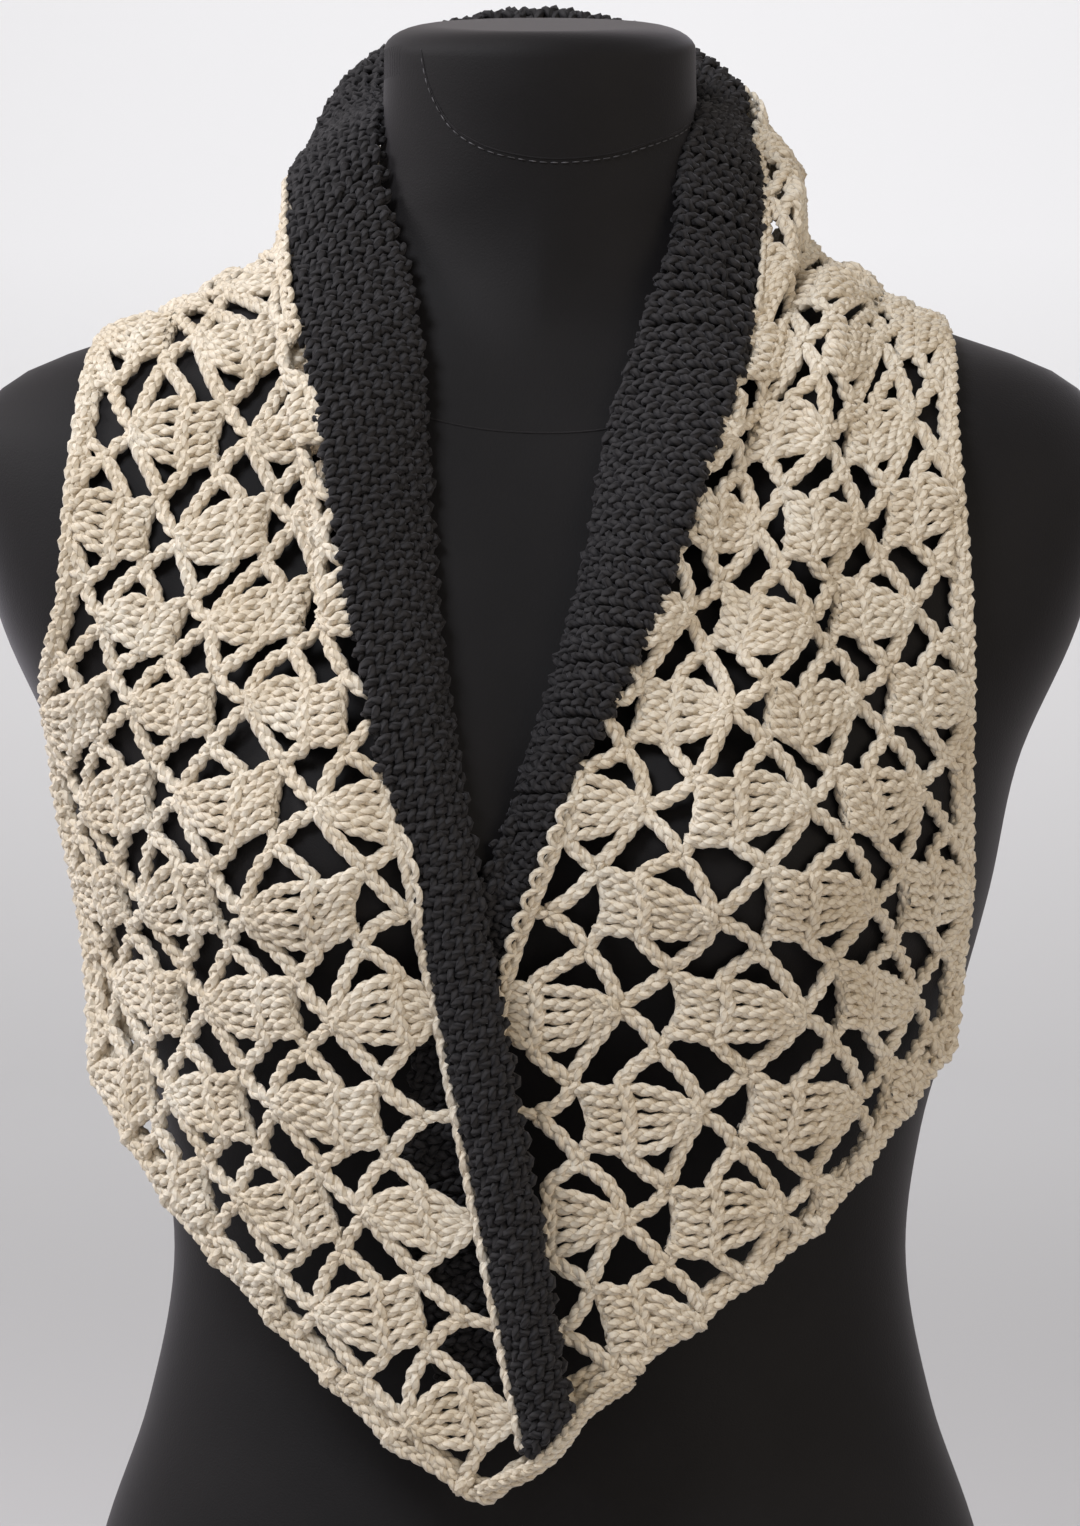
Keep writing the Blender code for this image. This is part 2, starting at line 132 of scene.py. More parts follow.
RIGHT_SECTIONS = (
    (65, (45, 46, 600), (56, 58, 624), (60, 62, 622), (70, 80, 603), (68, 86, 582),
     (62, 94, 540), (60, 113, 482)),
    (115, (57, 8, 600), (73, 24, 590), (80, 28, 594), (92, 38, 578), (88, 46, 556),
     (98, 62, 534), (106, 99, 489)),
    (150, (58, -14, 590), (77, -4, 568), (89, -2, 577), (90, 4, 558), (96, 10, 551),
     (114, 14, 543), (130, 64, 510)),
    (208, (44, -48, 548), (72, -54, 525), (82, -50, 526), (84, -44, 521), (98, -50, 529),
     (113, -32, 525), (138, 4, 529)),
    (269, (24, -70, 489), (58, -92, 482), (66, -84, 480), (74, -76, 481), (90, -84, 478),
     (112, -71, 480), (140, -59, 488)),
    (330, (17, -92, 446), (40, -112, 430), (48, -106, 428), (60, -99, 428), (80, -108, 425),
     (106, -91, 430), (143, -76, 434)),
    (379, (5, -108, 400), (20, -124, 387), (28, -120, 386), (40, -117, 386), (64, -128, 385),
     (100, -106, 388), (144, -75, 392)),
    (418, (-7, -116, 366), (5, -128, 351), (13, -127, 350), (27, -128, 350), (52, -135, 350),
     (98, -119, 352), (144, -68, 354)),
    (477, (-36, -120, 303), (-14, -122, 295), (-6, -122, 295), (10, -122, 295), (43, -126, 295),
     (96, -112, 296), (142, -52, 300)),
    (542, (-45, -119, 236), (-12, -121, 230), (-4, -121, 230), (12, -121, 230), (46, -119, 231),
     (94, -102, 233), (136, -56, 236)),
    (640, (-28, -119, 143), (6, -121, 137), (14, -121, 137), (30, -120, 137), (60, -112, 138),
     (99, -88, 140), (130, -50, 145)),
)
# Where the fronts are mitred: how far along the strip it ends, by how far across the lace.
LEFT_MITRE = ((0, 628), (16, 641), (42, 624), (90, 572), (120, 545), (155, 508))
RIGHT_MITRE = ((0, 612), (15, 608), (47, 590), (95, 556), (130, 522), (155, 500))
# The band's crown over its chord: along, crown.
CROWN = ((-640, 0.5), (-440, 0.5), (-395, 4), (-330, 4), (-200, 2), (200, 2), (330, 4), (400, 6),
         (650, 6))

BAND_WIDTH = 36
LACE_WIDTH = 155
# The surface's cells, how often it is relaxed, and how far it keeps off the form and the band.
CELL = 2.5
RELAXING = 16
YARN_CLEARANCE = 3.0
BAND_CLEARANCE = 5.0
# The band's rows cross it on a slant: how far apart, how far the seam's end is ahead, and where
# the slant would run out and over what length it gets less; then their strands and knots.
BAND_ROW = 6.5
BAND_LEAN = 9
LEAN_END = 660
LEAN_EASE = 90
BAND_YARN = 1.45
KNOT = 5.6
# How far the band's rows reach past its free edge, up against the neck: along, reach.
FREE_REACH = ((-640, 0), (-190, 0), (-155, 9), (-90, 7), (-50, 1), (50, 1), (90, 8), (125, 12),
              (160, 11), (205, 0), (640, 0))
# How far they reach past the seam, most where they roll over at the back of the collar.
SEAM_REACH = ((-640, -1.5), (-405, -1.5), (-385, 1.5), (-235, 1.5), (-215, 0), (-125, 0), (-90, 13),
              (-65, 17), (-30, 13), (60, 12), (110, 10), (140, 5), (165, 0), (235, 0), (250, 1.5),
              (385, 1.5), (405, -1.5), (640, -1.5))
# Below this height the left band lies over the right one's front, from there on along the strip:
# this far in front of it, as seen straight on and a little to both sides.
CROSSING_TOP = 400
RIGHT_FRONT = -150
OVERLAP_REACH = 5.6
ASIDE = (-4, 0, 4)
# The stretches of the band: half the gap at the centre back, and how far each stops from its mitre.
BACK_GAP = 0.4
LEFT_STOP = 6
RIGHT_STOP = 4
# The band's core: how far it stays inside the band's edges, and half its thickness.
BAND_EDGE = 1.5
BAND_HALF = 0.9
# The cells of the lace next to the seam that the band's and the edging's strands may lie on.
INNER_CELLS = 10
# So far from the middle a ray starts outside everything.
OUTSIDE = 300

# ---- the stitch pattern ----
# Along from one block of a tier to the next, across from tier to tier, and the tiers.
PERIOD = 70
TIER = 24
TIERS = 6
# From a tier's inner edge to the tips of its arms, the band's width and the ring's length, flat.
# Which repeat of the pattern lies where along the strip: even at the fronts, eased at the back.
REPEATS = ((-1, 684), (0, 614), (4, 337), (7, 120), (11, -118), (14, -336), (18, -621), (19, -692))
# Blocks are worked between these places along the strip; these half repeats are tried.
WORKED = (-660, 700)
HALF_REPEATS = (-2, 40)
# Radii of the lace's strands and of a post's core, and how far below the post that lies.
YARN = 1.51
CORE = 1.9
CORE_DROP = 0.6
# Bumps along the mitred ends: how far they stand out, and how far apart they are.
BUMP = 2.2
BUMP_STEP = 26.5
# The edging's way round the bottom of the bands: (x, y, z)
POINT_WRAP = ((-21, -131, 135), (-13, -133, 139), (-4, -134, 143), (3, -134, 148), (8, -132, 153),
              (12, -130, 159), (17, -127, 164), (24, -123, 168), (31, -117, 172))
# How far the lace's inner edge is tucked under the band: along, tuck.
TUCK = ((-640, 0), (-500, 2), (-440, 8), (-375, 18), (-320, 30), (-250, 34), (-180, 20), (-120, 6),
        (0, 0), (120, 4), (200, 10), (260, 14), (320, 20), (380, 20), (430, 10), (500, -1), (560, -2),
        (650, 0))
# Where the outer edge starts to be turned under, along it, down to the mitre, and by how many rows.
TURNED_UNDER = 415
HEM_ROWS = 4
# The edging's border: its points, and how far apart its short stitches are; the foundation's loops.
BORDER_POINTS = 500
EDGING_STEP = 6.3
LOOP_STEP = 7.5
# The yarn that is tucked further under the band than this isn't seen.
TUCKED = -2.0
# Where the chain that the lace is worked on shows beside the band, from here to there along it,
# and over what length its ends dip out of sight, apart from the end at the left front's point.
SHOWN = ((-610, -400), (-222, -48), (112, 240), (400, 625))
DIP = 20

# ---- small maths ----
def smooth_curve(knots, values, at):
    """Smooth curves through values at knots, read at many places."""
    knots = np.asarray(knots, float)
    values = np.asarray(values, float)
    shape = (-1,) + (1,) * (values.ndim - 1)
    at = np.clip(np.atleast_1d(np.asarray(at, float)), knots[0], knots[-1])
    before = np.maximum(np.arange(len(knots)) - 1, 0)
    after = np.minimum(np.arange(len(knots)) + 1, len(knots) - 1)
    slopes = (values[after] - values[before]) / (knots[after] - knots[before]).reshape(shape)
    i = np.clip(np.searchsorted(knots, at, side="right") - 1, 0, len(knots) - 2)
    h = (knots[i + 1] - knots[i]).reshape(shape)
    t = ((at - knots[i]) / (knots[i + 1] - knots[i])).reshape(shape)
    return ((2 * t**3 - 3 * t**2 + 1) * values[i] + (t**3 - 2 * t**2 + t) * h * slopes[i]
            + (3 * t**2 - 2 * t**3) * values[i + 1] + (t**3 - t**2) * h * slopes[i + 1])


def unit(vectors):
    """The vectors, each made one long."""
    return vectors / np.maximum(np.linalg.norm(vectors, axis=-1, keepdims=True), 1e-9)


def distances(points):
    """How far along a path each of its points is."""
    steps = np.linalg.norm(np.diff(points, axis=0), axis=1)
    return np.concatenate([[0], np.cumsum(steps)])


def resample(points, count):
    """The same path with its points evenly spaced."""
    lengths = distances(points)
    wanted = np.linspace(0, lengths[-1], count)
    return np.stack([np.interp(wanted, lengths, points[:, k]) for k in range(points.shape[1])], 1)


# ---- the cloth's surface ----
def joined_table():
    """One table for the whole ring, from the right front round the back to the left front."""
    rows = [(-row[0],) + row[1:] for row in reversed(RIGHT_SECTIONS)] + list(LEFT_SECTIONS)
    return [row[0] for row in rows], np.array([row[1:] for row in rows], float)


class Cloth:
    """A surface over (across, along), with its outward direction, read between its points."""

    def __init__(self, grid, alongs, acrosses):
        self.grid = grid
        self.alongs = alongs
        self.acrosses = acrosses
        down = np.gradient(grid, axis=0)
        over = np.gradient(grid, axis=1)
        self.normals = unit(np.cross(over, down))

    def blend(self, table, across, along):
        r = (np.asarray(along) - self.alongs[0]) / (self.alongs[1] - self.alongs[0])
        c = (np.asarray(across) - self.acrosses[0]) / (self.acrosses[1] - self.acrosses[0])
        i = np.clip(np.floor(r).astype(int), 0, len(self.alongs) - 2)
        j = np.clip(np.floor(c).astype(int), 0, len(self.acrosses) - 2)
        r = (r - i)[..., None]
        c = (c - j)[..., None]
        return ((1 - r) * (1 - c) * table[i, j] + (1 - r) * c * table[i, j + 1]
                + r * (1 - c) * table[i + 1, j] + r * c * table[i + 1, j + 1])

    def point(self, across, along, height=0.0):
        height = np.asarray(height, float)[..., None]
        return self.blend(self.grid, across, along) + self.normal(across, along) * height

    def normal(self, across, along):
        return unit(self.blend(self.normals, across, along))


def tube_quads(rings, sides):
    """The faces between rings of points, each ring closed."""
    i = np.arange(rings - 1)[:, None] * sides
    k = np.arange(sides)[None, :]
    k2 = (k + 1) % sides
    return np.stack([i + k, i + k2, i + sides + k2, i + sides + k], -1).reshape(-1, 4)


def end_caps(rings, sides):
    """The faces that close a tube's two ends."""
    return [list(range(sides))[::-1], list(range((rings - 1) * sides, rings * sides))]


def grid_tree(grid):
    """A grid of points as a surface that rays and distances can be measured to."""
    rows, cols = grid.shape[:2]
    points = [Vector(point) for point in grid.reshape(-1, 3)]
    faces = [(r * cols + c, r * cols + c + 1, (r + 1) * cols + c + 1, (r + 1) * cols + c)
             for r in range(rows - 1) for c in range(cols - 1)]
    return BVHTree.FromPolygons(points, faces)


def push_off(points, tree, clearance, two_sided=False):
    """Move points that are too near a surface straight out of it."""
    moved = points.copy()
    reach = np.broadcast_to(clearance, points.shape[:-1])
    for index in np.ndindex(points.shape[:-1]):
        here = Vector(points[index])
        near, normal, _, distance = tree.find_nearest(here)
        if not two_sided and (here - near).dot(normal) < 0:
            moved[index] = near + normal * reach[index]
        elif distance < reach[index]:
            moved[index] = near + (here - near).normalized() * reach[index]
    return moved


def relax(points):
    """Points moved towards the middle of their neighbours, the two ends of the strip kept."""
    smooth = points.copy()
    around = points[:-2, 1:-1] + points[2:, 1:-1] + points[1:-1, :-2] + points[1:-1, 2:]
    smooth[1:-1, 1:-1] = 0.5 * points[1:-1, 1:-1] + 0.125 * around
    for edge in (0, -1):
        smooth[1:-1, edge] = 0.6 * points[1:-1, edge] + 0.2 * (points[:-2, edge] + points[2:, edge])
    return smooth


def band_surface(alongs, sections, form):
    """The band's middle surface, free edge first."""
    free, seam = sections[:, 0], sections[:, 1]
    outward = unit(np.cross(seam - free, np.gradient(seam, axis=0)))
    crown = smooth_curve([row[0] for row in CROWN], [row[1] for row in CROWN], alongs)
    share = np.linspace(0, 1, int(BAND_WIDTH / CELL) + 2)[None, :, None]
    rise = crown[:, None, None] * np.sin(math.pi * share)
    grid = free[:, None] + (seam - free)[:, None] * share + outward[:, None] * rise
    grid = push_off(grid, form, YARN_CLEARANCE)
    under = grid_tree(grid[alongs < RIGHT_FRONT])
    forward = Vector((0, 1, 0))
    for index in np.ndindex(grid.shape[:-1]):
        x, y, z = grid[index]
        if alongs[index[0]] > 0 and z < CROSSING_TOP:
            for aside in ASIDE:
                hit = under.ray_cast(Vector((x + aside, -OUTSIDE, z)), forward)[0]
                if hit is not None:
                    grid[index][1] = min(grid[index][1], hit.y - OVERLAP_REACH)
    for _ in range(3):
        grid = relax(grid)
    return Cloth(grid, alongs, np.linspace(-BAND_WIDTH, 0, grid.shape[1]))


def lace_surface(alongs, sections, band, form):
    """The lace's middle surface, from the seam out to the edging."""
    count = int(LACE_WIDTH / CELL) + 1
    acrosses = np.linspace(0, LACE_WIDTH, count)
    lines = []
    for points, seam in zip(sections[:, 1:], band.grid[:, -1]):
        points = np.concatenate([[seam], points[1:]])
        chord = np.concatenate([[0], np.cumsum(np.linalg.norm(np.diff(points, axis=0), axis=1) ** 0.5)])
        lines.append(resample(smooth_curve(chord, points, np.linspace(0, chord[-1], 160)), count))
    grid = np.array(lines)
    band_tree = grid_tree(band.grid)
    beside_band = np.broadcast_to(np.minimum(BAND_CLEARANCE, 0.8 * acrosses + 0.4), grid.shape[:2])
    for step in range(RELAXING):
        grid = relax(grid)
        grid[:, 0] = band.grid[:, -1]
        if step % 4 == 3:
            grid[:, 1:] = push_off(grid[:, 1:], band_tree, beside_band[:, 1:], two_sided=True)
            grid = push_off(grid, form, YARN_CLEARANCE)
    return Cloth(grid, alongs, acrosses)


def form_ring(level, inset=0.0, lift=0.0):
    """The form's outline at a height: a squared oval, fuller at the bust, tilted at the neck."""
    heights = [row[0] for row in FORM_SECTIONS]
    sizes = smooth_curve(heights, [row[1:] for row in FORM_SECTIONS], level)[0]
    half_width, front, back, square = sizes
    turn = 2 * math.pi * np.arange(FORM_SIDES) / FORM_SIDES
    c = np.cos(turn)
    s = np.sin(turn)
    x = (half_width - NECK_SIDE_ROUNDING * inset) * np.sign(c) * np.abs(c) ** (2 / square)
    y = (np.where(s > 0, back, front) - inset) * np.sign(s) * np.abs(s) ** (2 / square)
    aside = (np.abs(x) - BUST_CENTRE[0]) / BUST_SPREAD[0]
    up = (level - BUST_CENTRE[1]) / BUST_SPREAD[1]
    bust = np.exp(-0.5 * (aside**2 + up**2))
    y = y - np.where(s < 0, BUST_FULLNESS * bust * np.minimum(1, np.abs(s) * 3), 0)
    tilt = NECK_TILT * np.clip((level - NECK_TILT_FROM) / (NECK_TOP - NECK_TILT_FROM), 0, 1)
    return np.stack([x, y, level + lift + y * tilt], 1)


def form_shape():
    """The form as rings of points from its base to the top of the neck, and its faces."""
    shoulder_of_cap = NECK_TOP - NECK_ROUNDING
    rings = [form_ring(level) for level in np.arange(0, shoulder_of_cap, FORM_STEP)]
    for step in range(0, 9):
        turn = step * math.pi / 16
        inset = NECK_ROUNDING * (1 - math.cos(turn))
        rings.append(form_ring(shoulder_of_cap, inset, NECK_ROUNDING * math.sin(turn)))
    rim = rings[-1]
    for share in (0.97, 0.85, 0.5):
        rings.append(rim.mean(0) + (rim - rim.mean(0)) * share)
    faces = tube_quads(len(rings), FORM_SIDES).tolist() + end_caps(len(rings), FORM_SIDES)
    return np.concatenate(rings), faces


def build_surfaces():
    points, faces = form_shape()
    form = BVHTree.FromPolygons([Vector(point) for point in points], faces)
    knots, table = joined_table()
    alongs = np.arange(knots[0], knots[-1] + 1e-6, CELL)
    sections = smooth_curve(knots, table, alongs)
    band = band_surface(alongs, sections, form)
    return form, band, lace_surface(alongs, sections, band, form)


def inner_cloth(band, lace):
    """The band and the lace beside it as one surface."""
    grid = np.concatenate([band.grid, lace.grid[:, 1:INNER_CELLS + 1]], 1)
    step = band.acrosses[1] - band.acrosses[0]
    return Cloth(grid, band.alongs, -BAND_WIDTH + step * np.arange(grid.shape[1]))


# ---- strands ----
def put(name, data):
    """A new object in the scene."""
    made = bpy.data.objects.new(name, data)
    bpy.context.scene.collection.objects.link(made)
    return made


def finished(name, mesh, material):
    """A mesh as a smooth object of one material."""
    mesh.polygons.foreach_set("use_smooth", np.ones(len(mesh.polygons), bool))
    mesh.materials.append(material)
    mesh.validate()
    return put(name, mesh)


class Yarn:
    """Collects strands and turns them into one mesh of closed tubes."""

    def __init__(self, sides=5, step=1.75):
        self.sides = sides
        self.step = step
        self.strands = []

    def add(self, points, ups, radius):
        self.strands.append((points, ups, radius))

    def tube(self, points, ups, radius):
        """The rings of points round one strand, a little uneven, and thinner at its ends."""
        ahead = unit(np.gradient(points, axis=0))
        side = unit(np.cross(ahead, ups))
        lift = np.cross(side, ahead)
        angles = 2 * math.pi * np.arange(self.sides)[:, None] / self.sides
        swell = DICE.uniform(0, 6.28)
        radii = radius * (1 + 0.07 * np.sin(np.arange(len(points)) * 0.9 + swell))
        radii[[0, -1]] *= 0.6
        ring = (points[:, None] + radii[:, None, None]
                * (np.cos(angles) * side[:, None] + np.sin(angles) * lift[:, None]))
        return ring.reshape(-1, 3)

    def make(self, name, material):
        verts, quads, runs = [], [], []
        base = 0
        for points, ups, radius in self.strands:
            verts.append(self.tube(points, ups, radius))
            quads.append(tube_quads(len(points), self.sides) + base)
            runs.append(distances(points) + DICE.uniform(0, 40))
            base += len(verts[-1])
        return tube_mesh(name, np.concatenate(verts), np.concatenate(quads), runs, self.sides, material)


def tube_mesh(name, verts, quads, runs, sides, material):
    """The strands' quads, and a cap at both ends of each."""
    caps = []
    start = 0
    for run in runs:
        end = start + (len(run) - 1) * sides
        caps += [np.arange(start + sides - 1, start - 1, -1), np.arange(end, end + sides)]
        start = end + sides
    loops = np.concatenate([quads.ravel(), np.array(caps).ravel()])
    sizes = np.concatenate([np.full(len(quads), 4), np.full(len(caps), sides)])
    mesh = bpy.data.meshes.new(name)
    mesh.vertices.add(len(verts))
    mesh.vertices.foreach_set("co", ((verts + PLACE) * MM).astype(np.float32).ravel())
    mesh.loops.add(len(loops))
    mesh.loops.foreach_set("vertex_index", loops.astype(np.int32))
    mesh.polygons.add(len(sizes))
    mesh.polygons.foreach_set("loop_start", (np.cumsum(sizes) - sizes).astype(np.int32))
    mesh.update(calc_edges=True)
    lay_out_ply(mesh, runs, sides)
    return finished(name, mesh, material)


def lay_out_ply(mesh, runs, sides):
    """For the ply: how far round and how far along its strand every corner of a quad is."""
    k = np.arange(sides)
    corners = np.stack([k, k + 1, k + 1, k], 1).ravel()
    turn = np.concatenate([np.tile(corners, len(run) - 1) for run in runs]) / sides
    ends = [np.stack([run[:-1], run[:-1], run[1:], run[1:]], 1) for run in runs]
    along = np.concatenate([np.repeat(pair, sides, axis=0).ravel() for pair in ends]) * 0.1
    flat = np.zeros((len(mesh.loops), 2), np.float32)
    flat[:len(turn)] = np.stack([turn, along], 1)
    mesh.uv_layers.new(name="ply").data.foreach_set("uv", flat.ravel())


def along_cloth(cloth, route, step):
    """A route of (across, along, height) on the cloth as evenly spaced points with normals."""
    route = np.array(route, float)
    fine = resample(route, max(12, int(distances(route)[-1] / 0.8)))
    points = cloth.point(fine[:, 0], fine[:, 1], fine[:, 2])
    normals = cloth.normal(fine[:, 0], fine[:, 1])
    both = np.concatenate([points, normals], 1)
    lengths = distances(points)
    wanted = np.linspace(0, lengths[-1], max(3, int(round(lengths[-1] / step)) + 1))
    both = np.stack([np.interp(wanted, lengths, both[:, k]) for k in range(6)], 1)
    return both[:, :3], unit(both[:, 3:]), wanted


def curved(start, control, end, count=9):
    """A quadratic arc between two places, pulled towards a third."""
    start, control, end = (np.array(p, float) for p in (start, control, end))
    s = np.linspace(0, 1, count)[:, None]
    return (1 - s) ** 2 * start + 2 * s * (1 - s) * control + s**2 * end


def braid(yarn, cloth, route, width=3.0, depth=1.05, pitch=5.8, radius=YARN, phase=None):
    """Three strands braided flat: a crochet chain seen from its V side."""
    braid_path(yarn, *along_cloth(cloth, route, yarn.step), width, depth, pitch, radius, phase)


def braid_path(yarn, points, normals, run, width, depth, pitch, radius, phase=None):
    side = unit(np.cross(unit(np.gradient(points, axis=0)), normals))
    if phase is None:
        phase = DICE.uniform(0, 1)
    for strand in range(3):
        turn = 2 * math.pi * (run / (3 * pitch) + strand / 3 + phase)
        offset = (side * (np.sin(turn) * width / 2)[:, None]
                  + normals * (np.sin(2 * turn) * depth)[:, None])
        yarn.add(points + offset, normals, radius * DICE.uniform(0.94, 1.06))


def rope(yarn, cloth, route, spread=1.0, pitch=12.0, radius=YARN, strands=2):
    """Strands twisted round each other, over a core: the post of a tall stitch."""
    points, normals, run = along_cloth(cloth, route, yarn.step)
    side = unit(np.cross(unit(np.gradient(points, axis=0)), normals))
    phase = DICE.uniform(0, 1)
    for strand in range(strands):
        turn = 2 * math.pi * (run / pitch + strand / strands + phase)
        offset = (side * (np.cos(turn) * spread)[:, None] + normals * (np.sin(turn) * spread)[:, None])
        yarn.add(points + offset, normals, radius * DICE.uniform(0.94, 1.08))
    core = slice(None, None, 2)
    if len(points) > 4:
        yarn.add(points[core] - normals[core] * CORE_DROP, normals[core], CORE)


# ---- the lattice ----
def place_along(repeat):
    """Where a repeat of the pattern lies along the strip."""
    return smooth_curve([row[0] for row in REPEATS], [row[1] for row in REPEATS], repeat)


def wander(across, along):
    """Hand work is never quite even: a slow drift of every stitch from its place."""
    return (across + 1.3 * np.sin(along * 0.083 + across * 0.05) + 0.6 * np.sin(along * 0.21 + 2),
            along + 1.7 * np.sin(across * 0.11 + along * 0.047) + 0.9 * np.sin(across * 0.19 + 1))


def table_at(table, along):
    """A value read between the rows of a table of (along, value)."""
    return np.interp(along, [row[0] for row in table], [row[1] for row in table])


def hidden_below(along):
    """How far across the lace is out of sight: under the band, or under its roll at the back."""
    return np.maximum(TUCKED, table_at(SEAM_REACH, along) * 1.15 + TUCKED)


class Block:
    """One solid block of the lace, with the arms that grow from it. Its own places are
    (out, beside, height): out from its inner side, beside from its middle."""

    def __init__(self, tier, repeat, yarn, cloth):
        self.tier = tier
        self.repeat = repeat
        self.yarn = yarn
        self.cloth = cloth
        middle = place_along(repeat)[0]
        self.up = -1 if middle > 0 else 1
        self.slant = DICE.uniform(1.0, 3.2) * self.up

    def route(self, places):
        places = np.array(places, float)
        across = self.tier * TIER + places[:, 0]
        along = place_along(self.repeat - places[:, 1] / PERIOD)
        across, along = wander(across, along)
        tuck = table_at(TUCK, along) * np.clip(1 - across / LACE_WIDTH, 0, 1) ** 1.3
        across = across - tuck
        height = places[:, 2] - 0.6 * np.clip(3 - across, 0, 5)
        return np.stack([across, along, height], 1)

    def lay(self, kind, places, **sizes):
        """A braid or rope of the block, as far as it can be seen and stays in the lace."""
        route = kept(self.route(places))
        if route is not None:
            kind(self.yarn, self.cloth, route, **sizes)


def mitre_end(across, along):
    """How far inside the mitred end a place is, in millimetres."""
    left = table_at(LEFT_MITRE, across)
    right = table_at(RIGHT_MITRE, across)
    return np.where(along > 0, left - along, right + along)


def kept(route, margin=1.0):
    """The first stretch of a route that shows, inside the mitre and the outer edge; None if short."""
    fine = resample(np.asarray(route, float), 40)
    inside = (mitre_end(fine[:, 0], fine[:, 1]) > margin) & (fine[:, 0] < LACE_WIDTH - margin)
    inside &= fine[:, 0] > hidden_below(fine[:, 1])
    if inside.all():
        return route
    if inside.sum() < 6:
        return None
    first = int(np.argmax(inside))
    last = first
    while last + 1 < len(fine) and inside[last + 1]:
        last += 1
    if last - first < 5:
        return None
    return fine[first:last + 1]


def work_block(block):
    """A block's two rows of posts, its chains and its arms."""
    fan = block.tier == 0
    up = block.up
    # inner row of posts, hooked round the chain they are worked into
    for k in range(6):
        beside = (k - 2.5) * 3.75
        foot_out = 3.0 - 3.0 * (beside / 11) ** 2
        foot = beside * 1.05 + block.slant
        if fan:
            foot_out = 0.2
            foot = beside * 0.3
        top = beside * 1.12 - 0.4 * block.slant
        lift = DICE.uniform(-0.45, 0.45)
        block.lay(rope, [
            (foot_out + 1.6, foot, -1.9 + lift), (foot_out - 0.3, foot, -1.0 + lift),
            (foot_out + 0.6, foot, 0.4 + lift), (foot_out + 4, foot * 0.8 + top * 0.2, 0.9 + lift),
            (9.5, beside, 0.8 + lift), (14, top, 0.3 + lift)])
    # the chain of tops across its middle, and the two legs that leave it
    block.lay(braid, [
        (24, -21, 0.2), (19, -17, 0.3), (14, -12.2, 0.5), (14.8, -7, 1.1), (15.3, 0, 1.3),
        (14.8, 7, 1.1), (14, 12.2, 0.5), (19, 17, 0.3), (24, 21, 0.2)])
    # outer row of posts, gathered into one top
    for k in range(5):
        beside = (k - 2) * 4.7
        lift = DICE.uniform(-0.4, 0.5)
        block.lay(rope, [
            (15.2, beside * 1.08, 0.2 + lift), (17.5, beside * 1.03, 1.1 + lift),
            (23, beside * 0.92, 1.6 + lift), (28, beside * 0.68, 1.2 + lift),
            (33.5, beside * 0.25, 0.5)])
    # the long arms to the next blocks' inner corners: the upper one bowed, the lower one pulled
    # straight, and the short ones out to the next
    block.lay(braid, curved((24, 21 * up, 0), (32.6, 14.5 * up, 0.5), (36, 0.8 * up, 0.8)))
    block.lay(braid, curved((36, -0.8 * up, 0.8), (30.3, -12 * up, 0.5), (24, -21 * up, 0)))
    for way in (-1, 1):
        block.lay(braid, curved((35.5, way * 0.8, 0.2), (44.2, way * 5.5, 0.2),
                                (48.6, way * 14.5, -0.4)))
    # the wrap that closes the block's top
    block.lay(braid, [(30, -3.6, 1.2), (34, -1.8, 1.9), (35.5, 0, 2.1), (34, 1.8, 1.9),
                      (30, 3.6, 1.2)], width=2.0, pitch=3.6)
    if block.tier == TIERS - 1:
        work_border_posts(block)


def work_border_posts(block):
    """Short posts from the last blocks' corners out to the border."""
    for way in (-1, 1):
        for lean in (-3, 3):
            block.lay(rope, [(23, way * 21, -0.4), (27, way * 21 + lean * 0.6, 0.3),
                             (31.5, way * 21 + lean * 1.3, 0)])


def work_base(block):
    """Between two blocks of the first tier: a short stem on the foundation, with two arms."""
    block.lay(rope, [(0.5, 0, 0.4), (5, 0, 0.8), (12, 0, 0.6)])
    for way in (-1, 1):
        block.lay(braid, curved((11.5, way * 0.8, 0.3), (20.5, way * 5, 0.3),
                                (24.6, way * 14.5, -0.4)))


def work_inner_chain(block):
    """The chain that a block's inner posts are hooked round."""
    block.lay(braid, [(0.5, -14, -0.3), (2.8, -7, -1.2), (3.6, 0, -1.4), (2.8, 7, -1.2),
                      (0.5, 14, -0.3)], width=1.8)


def work_lattice(cloth, cream):
    """Every block of the lace, in pieces by tier."""
    pieces = []
    for tier in range(TIERS):
        yarn = Yarn()
        for index in range(*HALF_REPEATS):
            repeat = index / 2
            middle = float(place_along(repeat)[0])
            if not WORKED[0] < middle < WORKED[1]:
                continue
            block = Block(tier, repeat, yarn, cloth)
            if (index + tier) % 2 == 0:
                work_block(block)
                if tier > 0:
                    work_inner_chain(block)
            elif tier == 0:
                work_base(block)
        pieces.append(yarn.make(f"lace_tier_{tier}", cream))
    return pieces


def mitre_route(mitre, sign, count=90):
    """The mitred edge from the outer corner to the seam, bumped out where the lattice meets it."""
    acrosses = np.linspace(LACE_WIDTH, 0, count)
    alongs = table_at(mitre, acrosses)
    run = distances(np.stack([acrosses, alongs], 1))
    alongs = alongs + BUMP * np.abs(np.cos(math.pi * run / BUMP_STEP)) ** 5
    return np.stack([acrosses, sign * alongs, np.zeros(count)], 1)


